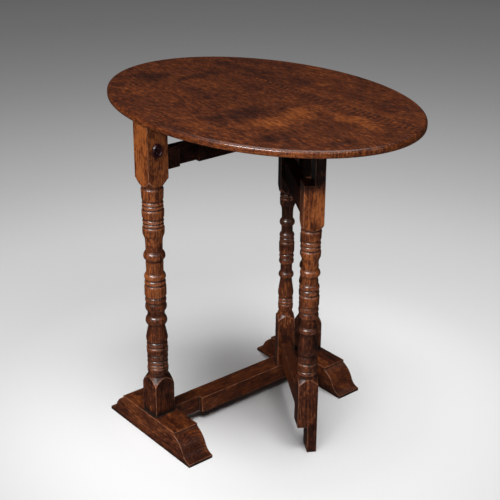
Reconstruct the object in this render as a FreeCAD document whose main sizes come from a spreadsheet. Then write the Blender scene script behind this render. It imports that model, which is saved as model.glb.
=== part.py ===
import FreeCAD, Part
import math
import os

import Sketcher

# Tilt top table: an oval top of three oak boards, hinged between two turned posts on shoe feet,
# with one turned gate leg that swings out to hold the raised half of the top.
#
# Frame: +Z up, the floor at Z 0 and the origin on the floor under the middle of the top.
# X runs from the left post to the right post, and the gate opens towards -Y.

Vector = FreeCAD.Vector
UP = Vector(0, 0, 1)

DIMENSIONS = {
    # the top
    "table_height": 700,
    "top_length": 712,
    "top_width": 513.5,
    "top_thickness": 13.8,
    "top_upper_rounding": 5.5,
    "top_lower_rounding": 3.5,
    "seam_left": -53,
    "seam_right": 89.5,
    # the frame's middle, a little to the left of the top's
    "frame_middle": -3,
    # the two frame posts
    "post_spacing": 411.5,
    "post_size": 45.5,
    "post_line": 66,
    "post_turning_top": 567.5,
    "post_tenon_size": 26,
    "post_tenon_length": 38,
    "stretcher_tenon_length": 14,
    # the shoe feet
    "foot_length": 283,
    "foot_width": 58.3,
    "foot_height": 56,
    "foot_flat": 183.4,
    "foot_quirk": 5.5,
    "foot_toe": 6.5,
    # the rails of the frame
    "frame_front": 44.75,
    "stretcher_width": 41,
    "stretcher_bottom": 20.5,
    "stretcher_notch_end": -110,
    "rail_thickness": 20.5,
    "rail_bottom": 583,
    "rail_top": 624,
    "rail_notch_start": -155,
    "rail_notch_end": -110,
    "notch_depth": 10.75,
    "rail_tenon_length": 22,
    "frame_tenon_thickness": 10,
    "tenon_shoulder": 5,
    "mortise_relief": 1,
    "corner_block_start": 161,
    "corner_block_bottom": 487,
    # the hinge of the top
    "hinge_line": 74,
    "hinge_height": 658,
    "post_top_clearance": 0.5,
    "bearer_width": 30,
    "bearer_bottom": 646,
    "bearer_end_gap": 0.8,
    "pin_diameter": 8,
    "pin_length": 44,
    "pin_hold": 20,
    "bore_diameter": 8.16,
    "bore_depth": 25,
    # the battens and their screws
    "batten_left": -100,
    "batten_right": 142,
    "batten_width": 36,
    "batten_thickness": 16,
    "batten_front_line": -256,
    "batten_back_line": 252,
    "screw_length": 25,
    "screw_diameter": 4.5,
    "screw_head_diameter": 9,
    "screw_head_height": 3,
    "screw_slot": 1,
    "screw_counterbore": 10,
    # the gate
    "gate_pivot_x": 128,
    "gate_pivot_y": 55,
    "gate_open_angle": 58.4,
    "gate_reach": 258.8,
    "gate_post_size": 39.5,
    "gate_turning_top": 500,
    "gate_post_top": 685.8,
    "gate_floor_gap": 0.3,
    "gate_tongue": 19.25,
    "gate_lap_top": 577.5,
    "gate_lap_bottom": 60,
    "pivot_post_size": 36.5,
    "pivot_turning_top": 474,
    "pivot_gap": 0.8,
    "gate_rail_thickness": 22,
    "gate_rail_upper_bottom": 493,
    "gate_rail_upper_top": 539,
    "gate_rail_lower_bottom": 67,
    "gate_rail_lower_top": 112.5,
    "gate_toe_rounding": 2,
    "gate_tenon_length": 16,
    "gate_tenon_thickness": 8,
    "gate_pin_length": 34,
    "gate_pin_hold": 14,
    # the wax seal
    "seal_x": -206.8,
    "seal_z": 624.7,
    "seal_radius": 14.5,
    "seal_height": 4.2,
    "seal_field": 2.2,
}

# Where the screws stand along X: both battens alike, and the bearer, from the frame's middle.
BATTEN_SCREWS_X = (-76, -20, 62, 118)
BEARER_SCREWS_X = (-140, -80, -15, 55, 115, 149)

# A turning is listed from the top down. Each step is its height, the radius at its lower end
# and how far its edge swells past a straight line: outwards is positive, and 0 is straight.
# A step that swells by RING_SWELL or more is a ring, which comes out to a narrow lip.
FRAME_POST_TURNING = (
    # upper shoulder, neck and barrel
    (16.5, 20.8, 0), (3.5, 20.2, -0.6),
    (5, 21.8, 0.9), (15, 21.1, 0), (6, 19.3, 0.5), (1.3, 19.1, 0),
    # two rings
    (6.2, 19.1, 1.7), (1.2, 19.1, 0), (7, 19.2, 1.7), (1.3, 19.1, 0),
    # short barrel
    (4.5, 21.9, 0.9), (9.5, 21.4, 0), (4.5, 20.1, 0.5), (2.5, 19.5, -0.5),
    # ring, bead and the vase below them
    (6.3, 19, 1.6), (1.4, 18.8, 0), (5.8, 19.1, 1.5), (1.2, 19, 0),
    (4.3, 21.8, 0.8), (9.5, 21.4, 0), (6, 19.5, 0.5), (12.5, 17, -0.6), (19.7, 16.7, 0),
    # large ring and plain waist
    (18.4, 16.7, 5), (6, 17.5, 0), (21.4, 17.1, 0),
    # middle barrel between two pairs of rings
    (14, 19.1, 3.3), (1.5, 18.8, 0), (9, 19.2, 2.1), (1.3, 19.1, 0),
    (4.5, 21.7, 0.9), (16.2, 21.7, 0), (4.5, 19.4, 0.9), (1.5, 19.1, 0),
    (11, 19.4, 1.9), (1.8, 19.1, 0), (18, 17.4, 3.2),
    # plain waist and large ring
    (10.7, 17.3, 0), (19.3, 17.3, 4.4),
    # upturned vase, bead and barrel
    (5.2, 17.2, 0), (21, 21.5, 0), (7.5, 21.7, 0.4), (3.5, 19.3, 0.5), (1.5, 19, 0),
    (9.5, 19.2, 2.1), (1.3, 19.1, 0), (4, 21.8, 0.8), (9, 21.4, 0), (3.7, 19.4, 0.5),
    # two rings, a bead and the lowest barrel
    (1.3, 19.1, 0), (10.7, 19.1, 2), (1.5, 19, 0), (8, 19.1, 2), (1.3, 19, 0),
    (5.5, 19.4, 1.5), (0.9, 19.3, 0), (3.8, 21.6, 0.7), (4.5, 21.3, 0), (3.2, 20.2, 0.4),
    # neck and lower shoulder
    (2.6, 20.2, -0.4), (6.2, 21.8, -0.3), (9.5, 27.6, 0), (13, 32.4, 0.9),
)
GATE_POST_TURNING = (
    # upper shoulder, neck and barrel
    (13, 18.9, 0), (2.5, 18.5, -0.4),
    (3.8, 19.7, 0.7), (11.5, 19.3, 0), (5.2, 17.3, 0.5), (1.5, 17.2, 0),
    # two rings and a vase
    (8, 17.3, 1.6), (1.5, 17.1, 0), (7.5, 17.3, 1.6), (1.5, 17.1, 0),
    (3.8, 19.7, 0.7), (6.5, 19.4, 0), (6.5, 17.6, 0.5), (10.5, 15.4, -0.5), (11.7, 15, 0),
    # large ring and plain waist
    (16, 15, 4.6), (15, 15.4, 0),
    # middle barrel between two pairs of rings
    (11.5, 17.3, 2.6), (1.4, 17.1, 0), (9.3, 17.3, 1.8), (1.3, 17.1, 0),
    (4, 19.6, 0.8), (16, 19.4, 0), (4.5, 17.3, 0.6), (1.4, 17.1, 0),
    (10.4, 17.3, 1.7), (1.5, 17.1, 0), (14, 15.4, 2.8),
    # plain waist and large ring
    (17.7, 15.5, 0), (13.5, 15.5, 4.1),
    # upturned vase, bead, barrel and ring
    (3.5, 15.5, 0), (28.5, 19.2, 0), (7.5, 19.5, 0.4), (7, 17.9, 0.8), (4, 17.6, -0.5),
    (13.5, 17.3, 1.9), (1.5, 17.1, 0), (3.8, 19.4, 0.7), (8.2, 19.2, 0), (3.5, 17.9, 0.4),
    (2.5, 17.6, 0), (7.5, 18.1, 1.5),
    # neck and lower shoulder
    (2, 17.9, -0.2), (5, 19.3, -0.2), (7, 23.6, 0), (9, 28.2, 0.6),
)
PIVOT_POST_TURNING = (
    # upper shoulder, neck and bead
    (12, 16, 0), (3, 15.5, -0.3), (6.5, 14.9, 1.2), (1.5, 14.6, 0),
    # vase
    (3.5, 16.7, 0.7), (9.5, 16.3, 0), (7, 14.3, 0.5), (11, 12.2, -0.5), (17, 11.9, 0),
    # large ring and plain waist
    (16, 12, 4.2), (15.5, 12.3, 0),
    # middle barrel between two pairs of rings
    (11, 14.4, 2.5), (0.9, 14.3, 0), (8, 14.4, 1.4), (1.2, 14.2, 0),
    (4, 16.6, 0.7), (18.9, 16.3, 0), (4.5, 14.4, 0.5), (1.5, 14.2, 0),
    (8.7, 14.4, 1.5), (1.3, 14.2, 0), (14, 12.6, 2.6),
    # plain waist and large ring
    (17.5, 12.7, 0), (14.5, 12.6, 3.7),
    # upturned vase, two beads and a barrel
    (4, 12.6, 0), (27, 16.3, 0), (7, 16.6, 0.4), (7, 15, 0.7), (3, 14.8, -0.3),
    (6, 14.5, 1.4), (0.8, 14.4, 0), (6.2, 14.5, 1.4), (1.2, 14.3, 0),
    (3.5, 16.5, 0.6), (7.5, 16.3, 0), (3, 15.1, 0.4), (2.3, 14.9, 0),
    # neck and lower shoulder
    (3.5, 15.4, -0.2), (4.5, 16.6, -0.2), (6, 20, 0), (10, 26.1, 0.7),
)

RING_SWELL = 1.2
# A ring's lip: its width, how far down the ring it starts, and how full the ring is above and below it.
LIP_WIDTH = 1.2
LIP_PLACE = 0.55
RING_FULLNESS = 0.25
# How far a turning's ends lie outside the corners of its square post.
CORNER_MARGIN = 0.25

# The ogee of a foot's end: where its hollow turns into its swell, and how far each arc bows.
FOOT_INFLECTION = (119.5, 22.5)
OGEE_SWELL = 4
OGEE_HOLLOW = 4

doc = FreeCAD.newDocument("tilt_top_table")
sheet = doc.addObject("Spreadsheet::Sheet", "dims")
nodes = []


def fill_sheet():
    """Put every driving dimension in the sheet, one row each: its name, and its value with an alias."""
    for row, (name, value) in enumerate(DIMENSIONS.items(), start=1):
        sheet.set(f"A{row}", name)
        sheet.set(f"B{row}", str(value))
        sheet.setAlias(f"B{row}", name)
    doc.recompute()


def dim(name):
    """The present value of one cell of the sheet."""
    return float(sheet.get(name))


def bind(obj, **expressions):
    """Bind properties of an object to the sheet. A double underscore stands for a dot."""
    for name, expression in expressions.items():
        obj.setExpression(name.replace("__", "."), expression)


# ---------------------------------------------------------------- sketches and features

def evaluate(obj, expression):
    """The number that an expression gives on an object."""
    value = obj.evalExpression(str(expression))
    return float(getattr(value, "Value", value))


def keep(obj, label):
    """Name an object as a finished sub-part, which is written out under its label."""
    obj.Label = label
    nodes.append(obj)
    return obj


def new_body(name, x="0", y="0", z="0", angle="0"):
    """A body whose own frame stands at expressions for x, y, z and a turn about Z."""
    body = doc.addObject("PartDesign::Body", name)
    bind(body, Placement=f"placement(vector({x}; {y}; {z}); rotation(vector(0; 0; 1); {angle}))")
    return body


def new_sketch(body, name, plane, offset="0"):
    """A sketch on one of the body's own origin planes, moved off it by an expression."""
    sketch = body.newObject("Sketcher::SketchObject", f"{body.Name}_{name}")
    support = next(f for f in body.Origin.OriginFeatures if f.Role == plane)
    sketch.AttachmentSupport = [(support, "")]
    sketch.MapMode = "FlatFace"
    bind(sketch, AttachmentOffset__Base__z=str(offset))
    return sketch


def constrain(sketch, expression, kind, *points):
    """Add one driving constraint at the value that its expression gives, and bind it."""
    value = evaluate(sketch, expression)
    index = sketch.addConstraint(Sketcher.Constraint(kind, *points, value))
    bind(sketch, **{f"Constraints[{index}]": str(expression)})


def add_rectangle(sketch, x, y):
    """A rectangle between two pairs of expressions, measured from the sketch's origin."""
    x0, x1 = [evaluate(sketch, side) for side in x]
    y0, y1 = [evaluate(sketch, side) for side in y]
    corners = [Vector(x0, y0), Vector(x1, y0), Vector(x1, y1), Vector(x0, y1)]
    for start, end in zip(corners, corners[1:] + corners[:1]):
        sketch.addGeometry(Part.LineSegment(start, end))
    for side in range(4):
        sketch.addConstraint(Sketcher.Constraint("Coincident", side, 2, (side + 1) % 4, 1))
        sketch.addConstraint(Sketcher.Constraint("Vertical" if side % 2 else "Horizontal", side))
    constrain(sketch, x[0], "DistanceX", -1, 1, 0, 1)
    constrain(sketch, x[1], "DistanceX", -1, 1, 1, 2)
    constrain(sketch, y[0], "DistanceY", -1, 1, 0, 1)
    constrain(sketch, y[1], "DistanceY", -1, 1, 2, 1)


def add_step(sketch, start, end, swell=0):
    """One piece of an outline: a straight line, or an arc that swells to the left of its way."""
    if swell == 0:
        sketch.addGeometry(Part.LineSegment(start, end))
        return
    chord = end - start
    sideways = Vector(-chord.y, chord.x).normalize()
    sketch.addGeometry(Part.Arc(start, (start + end) * 0.5 + sideways * swell, end))


def join_outline(sketch):
    """Tie each piece of a closed outline to the next one where their ends meet."""
    count = sketch.GeometryCount
    for index in range(count):
        following = (index + 1) % count
        gaps = {(a, b): (sketch.getPoint(index, a) - sketch.getPoint(following, b)).Length
                for a in (1, 2) for b in (1, 2)}
        a, b = min(gaps, key=gaps.get)
        sketch.addConstraint(Sketcher.Constraint("Coincident", index, a, following, b))


def add_feature(body, kind, name, sketch, length=None, **settings):
    """A sketch-based feature at the body's tip, which has to change the body's volume."""
    before = body.Shape.Volume if body.Tip else 0.0
    feature = body.newObject(f"PartDesign::{kind}", f"{body.Name}_{name}")
    feature.Profile = sketch
    for key, value in settings.items():
        setattr(feature, key, value)
    if length:
        bind(feature, Length=length)
    doc.recompute()
    if abs(body.Shape.Volume - before) < 1.0:
        raise RuntimeError(f"{feature.Name} changes nothing")
    return feature


# ---------------------------------------------------------------- shapes that repeat

def pad_box(body, name, x, y, bottom, height):
    """A block between pairs of expressions for x and y, which rises from bottom by height."""
    sketch = new_sketch(body, f"{name}_outline", "XY_Plane", bottom)
    add_rectangle(sketch, x, y)
    return add_feature(body, "Pad", name, sketch, height)


def cut_box(body, name, x, y, top, depth):
    """The same block taken away, from its top face down by depth."""
    sketch = new_sketch(body, f"{name}_outline", "XY_Plane", top)
    add_rectangle(sketch, x, y)
    return add_feature(body, "Pocket", name, sketch, depth)


def cut_bores(body, name, plane, centres, offset, depth, diameter, along_normal=False):
    """Round bores that start on a plane at an offset, each centre a pair of expressions on it."""
    sketch = new_sketch(body, f"{name}_outline", plane, offset)
    for number, (across, along) in enumerate(centres):
        centre = Vector(evaluate(sketch, across), evaluate(sketch, along))
        sketch.addGeometry(Part.Circle(centre, UP, evaluate(sketch, diameter) / 2))
        constrain(sketch, across, "DistanceX", -1, 1, number, 3)
        constrain(sketch, along, "DistanceY", -1, 1, number, 3)
        constrain(sketch, diameter, "Diameter", number)
    return add_feature(body, "Pocket", name, sketch, depth, Reversed=along_normal)


def add_ring(sketch, start, end, swell):
    """One ring of a turning: it comes out to its lip, runs straight down and falls back."""
    lip = (start.x + end.x) / 2 + swell
    upper = Vector(lip, start.y + (end.y - start.y) * LIP_PLACE)
    lower = Vector(lip, upper.y - LIP_WIDTH)
    add_step(sketch, start, upper, swell * RING_FULLNESS)
    add_step(sketch, upper, lower)
    add_step(sketch, lower, end, swell * RING_FULLNESS)


def turn(body, steps, size, turning_top):
    """Turn a square post down to its round profile, between two shoulders left on the square."""
    sketch = new_sketch(body, "turning_outline", "XZ_Plane")
    corner = evaluate(sketch, size) / math.sqrt(2) + CORNER_MARGIN
    outside = evaluate(sketch, size)
    top = Vector(corner, evaluate(sketch, turning_top))
    here = top
    for height, radius, swell in steps:
        there = Vector(radius, here.y - height)
        if swell >= RING_SWELL:
            add_ring(sketch, here, there, swell)
        else:
            add_step(sketch, here, there, swell)
        here = there
    add_step(sketch, here, Vector(outside, here.y))
    add_step(sketch, Vector(outside, here.y), Vector(outside, top.y))
    add_step(sketch, Vector(outside, top.y), top)
    join_outline(sketch)
    last = sketch.GeometryCount - 1
    constrain(sketch, size, "DistanceX", -1, 1, last, 1)
    constrain(sketch, turning_top, "DistanceY", -1, 1, last, 1)
    return add_feature(body, "Groove", "turning", sketch, ReferenceAxis=(sketch, ["V_Axis"]), Angle=360.0)


def round_edges(body, name, height, radius):
    """Round every edge that lies wholly in the level plane at one height."""
    base = body.Tip
    level = evaluate(body, height)
    edges = [f"Edge{number}" for number, edge in enumerate(base.Shape.Edges, start=1)
             if max(abs(edge.BoundBox.ZMin - level), abs(edge.BoundBox.ZMax - level)) < 0.01]
    fillet = body.newObject("PartDesign::Fillet", f"{body.Name}_{name}")
    fillet.Base = (base, edges)
    bind(fillet, Radius=radius)
    doc.recompute()


def around(middle, width):
    """A pair of expressions that lie half a width to each side of a middle."""
    return f"{middle} - {width} / 2", f"{middle} + {width} / 2"


def past(inner, outer, side):
    """A pair of expressions along X on one side of a body's middle, in rising order."""
    return (inner, outer) if side > 0 else (f"-({outer})", f"-({inner})")


def pin(name, diameter, length, place, axis):
    """A plain iron pin that starts at a place, given as three expressions, and runs along an axis."""
    rod = doc.addObject("Part::Cylinder", name)
    bind(rod, Radius=f"{diameter} / 2", Height=length)
    tilt = {"x": "rotation(vector(0; 1; 0); 90)", "z": "rotation(vector(0; 0; 1); 0)"}[axis]
    bind(rod, Placement=f"placement(vector({'; '.join(place)}); {tilt})")
    return keep(rod, name)


# ---------------------------------------------------------------- places used by several sub-parts

UNDERSIDE = "dims.table_height - dims.top_thickness"
FRAME_X = "dims.frame_middle"
POST_X = "dims.post_spacing / 2"
POST_FACE = "dims.post_size / 2"
STRETCHER_END = "(dims.post_spacing - dims.foot_width) / 2"
RAIL_END = "(dims.post_spacing - dims.post_size) / 2"
STRETCHER_MIDDLE = "(dims.frame_front + dims.stretcher_width / 2)"
RAIL_MIDDLE = "(dims.frame_front + dims.rail_thickness / 2)"
STRETCHER_TENON_BOTTOM = "dims.stretcher_bottom + dims.tenon_shoulder"
STRETCHER_TENON_HEIGHT = "(dims.foot_height - dims.stretcher_bottom - 2 * dims.tenon_shoulder)"
RAIL_TENON_BOTTOM = "dims.rail_bottom + dims.tenon_shoulder"
RAIL_TENON_HEIGHT = "(dims.rail_top - dims.rail_bottom - 2 * dims.tenon_shoulder)"
PIVOT_X = "(dims.frame_middle + dims.gate_pivot_x)"
PIVOT_Y = "dims.gate_pivot_y"
GATE_ANGLE = "dims.gate_open_angle"
PIVOT_FACE = "dims.pivot_post_size / 2"
PIVOT_BOTTOM = "dims.foot_height + dims.pivot_gap"
PIVOT_TOP = "dims.rail_bottom - dims.pivot_gap"
GATE_FACE = "dims.gate_post_size / 2"
GATE_RAILS = {
    "lower": ("dims.gate_rail_lower_bottom", "dims.gate_rail_lower_top"),
    "upper": ("dims.gate_rail_upper_bottom", "dims.gate_rail_upper_top"),
}
BATTENS = {"front": "dims.batten_front_line", "back": "dims.batten_back_line"}


# ---------------------------------------------------------------- the trestle frame

def frame_post(label, side):
    """A turned post with its foot tenon, the rail's mortise and the bore for the top's hinge pin."""
    inward = -side
    body = new_body(label, x=f"{FRAME_X} + {side} * {POST_X}", y="dims.post_line")
    square = around("0", "dims.post_size")
    height = f"{UNDERSIDE} - dims.post_top_clearance - dims.foot_height"
    pad_box(body, "stock", square, square, "dims.foot_height", height)
    tenon = around("0", "dims.post_tenon_size")
    pad_box(body, "tenon", tenon, tenon, "dims.foot_height - dims.post_tenon_length", "dims.post_tenon_length")
    turn(body, FRAME_POST_TURNING, "dims.post_size", "dims.post_turning_top")
    depth = "dims.rail_tenon_length + dims.mortise_relief"
    cut_box(body, "rail_mortise", past(f"{POST_FACE} - ({depth})", f"{POST_FACE} + 1", inward),
            around(f"{RAIL_MIDDLE} - dims.post_line", "dims.frame_tenon_thickness"),
            f"{RAIL_TENON_BOTTOM} + {RAIL_TENON_HEIGHT}", RAIL_TENON_HEIGHT)
    cut_bores(body, "hinge_bore", "YZ_Plane", [("dims.hinge_line - dims.post_line", "dims.hinge_height")],
              f"{inward} * {POST_FACE}", "dims.bore_depth", "dims.bore_diameter", along_normal=side > 0)
    round_post_top(body)
    return keep(body, label)


def round_post_top(body):
    """Round the back of the post's top about the hinge, so that the tilting top clears it."""
    sketch = new_sketch(body, "top_round_outline", "YZ_Plane")
    hinge = Vector(dim("hinge_line") - dim("post_line"), dim("hinge_height"))
    top = evaluate(sketch, f"{UNDERSIDE} - dims.post_top_clearance")
    radius = top - hinge.y
    behind = dim("post_size") / 2 + 1
    angle = math.asin((behind - hinge.x) / radius)
    start = Vector(hinge.x, top)
    middle = hinge + Vector(math.sin(angle / 2), math.cos(angle / 2)) * radius
    end = hinge + Vector(math.sin(angle), math.cos(angle)) * radius
    sketch.addGeometry(Part.Arc(start, middle, end))
    add_step(sketch, end, Vector(end.x, top + 1))
    add_step(sketch, Vector(end.x, top + 1), Vector(start.x, top + 1))
    add_step(sketch, Vector(start.x, top + 1), start)
    join_outline(sketch)
    constrain(sketch, "dims.hinge_line - dims.post_line", "DistanceX", -1, 1, 0, 3)
    constrain(sketch, "dims.hinge_height", "DistanceY", -1, 1, 0, 3)
    constrain(sketch, f"{UNDERSIDE} - dims.post_top_clearance - dims.hinge_height", "Radius", 0)
    add_feature(body, "Pocket", "top_round", sketch, "dims.post_size + 2", SideType="Symmetric")


def shoe_foot(label, side):
    """A shoe foot: a flat middle under the post, and a quirk and an ogee down to a low toe at each end."""
    body = new_body(label, x=f"{FRAME_X} + {side} * {POST_X}", y="dims.post_line")
    sketch = new_sketch(body, "outline", "YZ_Plane")
    half, toe, height = dim("foot_length") / 2, dim("foot_toe"), dim("foot_height")
    flat = dim("foot_flat") / 2
    points = [Vector(half, 0), Vector(half, toe), Vector(*FOOT_INFLECTION),
              Vector(flat, height - dim("foot_quirk")), Vector(flat, height)]
    swells = [0, OGEE_HOLLOW, -OGEE_SWELL, 0]
    for start, end, swell in zip(points, points[1:], swells):
        add_step(sketch, start, end, swell)
    mirrored = [Vector(-point.x, point.y) for point in reversed(points)]
    add_step(sketch, points[-1], mirrored[0])
    for start, end, swell in zip(mirrored, mirrored[1:], reversed(swells)):
        add_step(sketch, start, end, swell)
    add_step(sketch, mirrored[-1], points[0])
    join_outline(sketch)
    last = sketch.GeometryCount - 1
    constrain(sketch, "dims.foot_length / 2", "DistanceX", -1, 1, last, 2)
    constrain(sketch, "-dims.foot_length / 2", "DistanceX", -1, 1, last, 1)
    constrain(sketch, "dims.foot_toe", "DistanceY", 0, 1, 0, 2)
    constrain(sketch, "dims.foot_flat", "DistanceX", 4, 2, 4, 1)
    constrain(sketch, "dims.foot_height", "DistanceY", -1, 1, 4, 1)
    add_feature(body, "Pad", "block", sketch, "dims.foot_width", SideType="Symmetric")
    socket = around("0", "dims.post_tenon_size")
    cut_box(body, "post_mortise", socket, socket, "dims.foot_height",
            "dims.post_tenon_length + dims.mortise_relief")
    face = "dims.foot_width / 2"
    depth = "dims.stretcher_tenon_length + dims.mortise_relief"
    cut_box(body, "stretcher_mortise", past(f"{face} - ({depth})", f"{face} + 1", -side),
            around(f"{STRETCHER_MIDDLE} - dims.post_line", "dims.frame_tenon_thickness"),
            f"{STRETCHER_TENON_BOTTOM} + {STRETCHER_TENON_HEIGHT}", STRETCHER_TENON_HEIGHT)
    return keep(body, label)


def frame_rail(label, end, tenon, y, middle, z, tenon_z, notch, bore_up):
    """A rail of the frame with a tenon at each end, the notch for the gate leg and the pivot bore."""
    body = new_body(label, x=FRAME_X)
    bottom, height = z
    pad_box(body, "stock", (f"-{end}", end), y, bottom, height)
    reach = f"({end} + {tenon})"
    pad_box(body, "tenons", (f"-{reach}", reach), around(middle, "dims.frame_tenon_thickness"), *tenon_z)
    cut_box(body, "gate_notch", notch, ("dims.frame_front - 1", "dims.frame_front + dims.notch_depth"),
            f"{bottom} + {height} + 1", f"{height} + 2")
    mouth = bottom if bore_up else f"{bottom} + {height}"
    cut_bores(body, "pivot_bore", "XY_Plane", [("dims.gate_pivot_x", PIVOT_Y)], mouth,
              "dims.gate_pin_length - dims.gate_pin_hold + dims.mortise_relief",
              "dims.bore_diameter", along_normal=bore_up)
    return keep(body, label)


def trestle_frame():
    """The two posts on their feet, the stretcher, and the upper rail with a block in its right corner."""
    for name, side in (("left", -1), ("right", 1)):
        shoe_foot(f"{name}_foot", side)
        frame_post(f"{name}_post", side)
    frame_rail("stretcher", STRETCHER_END, "dims.stretcher_tenon_length",
               ("dims.frame_front", "dims.frame_front + dims.stretcher_width"), STRETCHER_MIDDLE,
               ("dims.stretcher_bottom", "(dims.foot_height - dims.stretcher_bottom)"),
               (STRETCHER_TENON_BOTTOM, STRETCHER_TENON_HEIGHT),
               (f"-{STRETCHER_END} - 1", "dims.stretcher_notch_end"), bore_up=False)
    frame_rail("upper_rail", RAIL_END, "dims.rail_tenon_length",
               ("dims.frame_front", "dims.frame_front + dims.rail_thickness"), RAIL_MIDDLE,
               ("dims.rail_bottom", "(dims.rail_top - dims.rail_bottom)"),
               (RAIL_TENON_BOTTOM, RAIL_TENON_HEIGHT),
               ("dims.rail_notch_start", "dims.rail_notch_end"), bore_up=True)
    block = new_body("corner_block", x=FRAME_X)
    pad_box(block, "stock", ("dims.corner_block_start", RAIL_END),
            ("dims.frame_front", "dims.frame_front + dims.rail_thickness"),
            "dims.corner_block_bottom", "dims.rail_bottom - dims.corner_block_bottom")
    keep(block, "corner_block")


def wax_seal():
    """A plain pressed wax seal: a raised rim round a low flat field, stuck on the left post's front."""
    face = "dims.post_line - dims.post_size / 2"
    body = new_body("wax_seal", x=f"{FRAME_X} + dims.seal_x", y=face, z="dims.seal_z")
    sketch = new_sketch(body, "profile", "XY_Plane")
    radius, height, field = dim("seal_radius"), dim("seal_height"), dim("seal_field")
    inner = radius - 2 * (height - field)
    points = [Vector(0, 0), Vector(radius, 0), Vector(radius, -field / 2), Vector(inner, -field), Vector(0, -field)]
    swells = [0, 0, height - field, 0, 0]
    for start, end, swell in zip(points, points[1:] + points[:1], swells):
        add_step(sketch, start, end, swell)
    join_outline(sketch)
    constrain(sketch, "dims.seal_radius", "DistanceX", -1, 1, 0, 2)
    add_feature(body, "Revolution", "disc", sketch, ReferenceAxis=(sketch, ["V_Axis"]), Angle=360.0)
    keep(body, "wax_seal")


# ---------------------------------------------------------------- the gate leg

def cut_gate_mortises(body, face, side):
    """The mortises for both gate rails in one side face of a gate post."""
    depth = "dims.gate_tenon_length + dims.mortise_relief"
    for name, (bottom, top) in GATE_RAILS.items():
        cut_box(body, f"{name}_mortise", past(f"{face} - ({depth})", f"{face} + 1", side),
                around("0", "dims.gate_tenon_thickness"), f"{top} - dims.tenon_shoulder",
                f"{top} - {bottom} - 2 * dims.tenon_shoulder")


def gate_pivot_post():
    """The post that the gate turns on, with its two pins, between the stretcher and the upper rail."""
    body = new_body("gate_pivot_post", x=PIVOT_X, y=PIVOT_Y, angle=GATE_ANGLE)
    square = around("0", "dims.pivot_post_size")
    pad_box(body, "stock", square, square, PIVOT_BOTTOM, f"{PIVOT_TOP} - ({PIVOT_BOTTOM})")
    turn(body, PIVOT_POST_TURNING, "dims.pivot_post_size", "dims.pivot_turning_top")
    cut_gate_mortises(body, PIVOT_FACE, -1)
    cut_bores(body, "top_hole", "XY_Plane", [("0", "0")], PIVOT_TOP, "dims.gate_pin_hold", "dims.pin_diameter")
    cut_bores(body, "bottom_hole", "XY_Plane", [("0", "0")], PIVOT_BOTTOM, "dims.gate_pin_hold",
              "dims.pin_diameter", along_normal=True)
    keep(body, "gate_pivot_post")
    pin("gate_top_pin", "dims.pin_diameter", "dims.gate_pin_length",
        (PIVOT_X, PIVOT_Y, f"{PIVOT_TOP} - dims.gate_pin_hold"), "z")
    pin("gate_bottom_pin", "dims.pin_diameter", "dims.gate_pin_length",
        (PIVOT_X, PIVOT_Y, f"{PIVOT_BOTTOM} + dims.gate_pin_hold - dims.gate_pin_length"), "z")


def gate_outer_post():
    """The leg at the gate's free edge, lapped at both ends to pass in front of the frame's rails."""
    body = new_body("gate_outer_post",
                    x=f"{PIVOT_X} - dims.gate_reach * cos({GATE_ANGLE})",
                    y=f"{PIVOT_Y} - dims.gate_reach * sin({GATE_ANGLE})", angle=GATE_ANGLE)
    square = around("0", "dims.gate_post_size")
    pad_box(body, "stock", square, square, "dims.gate_floor_gap", "dims.gate_post_top - dims.gate_floor_gap")
    turn(body, GATE_POST_TURNING, "dims.gate_post_size", "dims.gate_turning_top")
    across = (f"-{GATE_FACE} - 1", f"{GATE_FACE} + 1")
    behind = (f"-{GATE_FACE} + dims.gate_tongue", f"{GATE_FACE} + 1")
    cut_box(body, "top_lap", across, behind, "dims.gate_post_top + 1",
            "dims.gate_post_top + 1 - dims.gate_lap_top")
    cut_box(body, "bottom_lap", across, behind, "dims.gate_lap_bottom", "dims.gate_lap_bottom")
    cut_gate_mortises(body, GATE_FACE, 1)
    round_edges(body, "toe", "dims.gate_floor_gap", "dims.gate_toe_rounding")
    keep(body, "gate_outer_post")


def gate_rail(name, bottom, top):
    """A flat rail between the gate's two posts, with a tenon at each end."""
    body = new_body(f"gate_{name}_rail", x=PIVOT_X, y=PIVOT_Y, angle=GATE_ANGLE)
    outer = f"-dims.gate_reach + {GATE_FACE}"
    inner = f"-{PIVOT_FACE}"
    pad_box(body, "stock", (outer, inner), around("0", "dims.gate_rail_thickness"), bottom, f"{top} - {bottom}")
    pad_box(body, "tenons", (f"{outer} - dims.gate_tenon_length", f"{inner} + dims.gate_tenon_length"),
            around("0", "dims.gate_tenon_thickness"), f"{bottom} + dims.tenon_shoulder",
            f"{top} - {bottom} - 2 * dims.tenon_shoulder")
    keep(body, f"gate_{name}_rail")


def gate():
    """The gate leg: its pivot post and pins, its outer post and the two rails between them."""
    gate_pivot_post()
    gate_outer_post()
    for name, (bottom, top) in GATE_RAILS.items():
        gate_rail(name, bottom, top)


# ---------------------------------------------------------------- the tilting top

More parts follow.
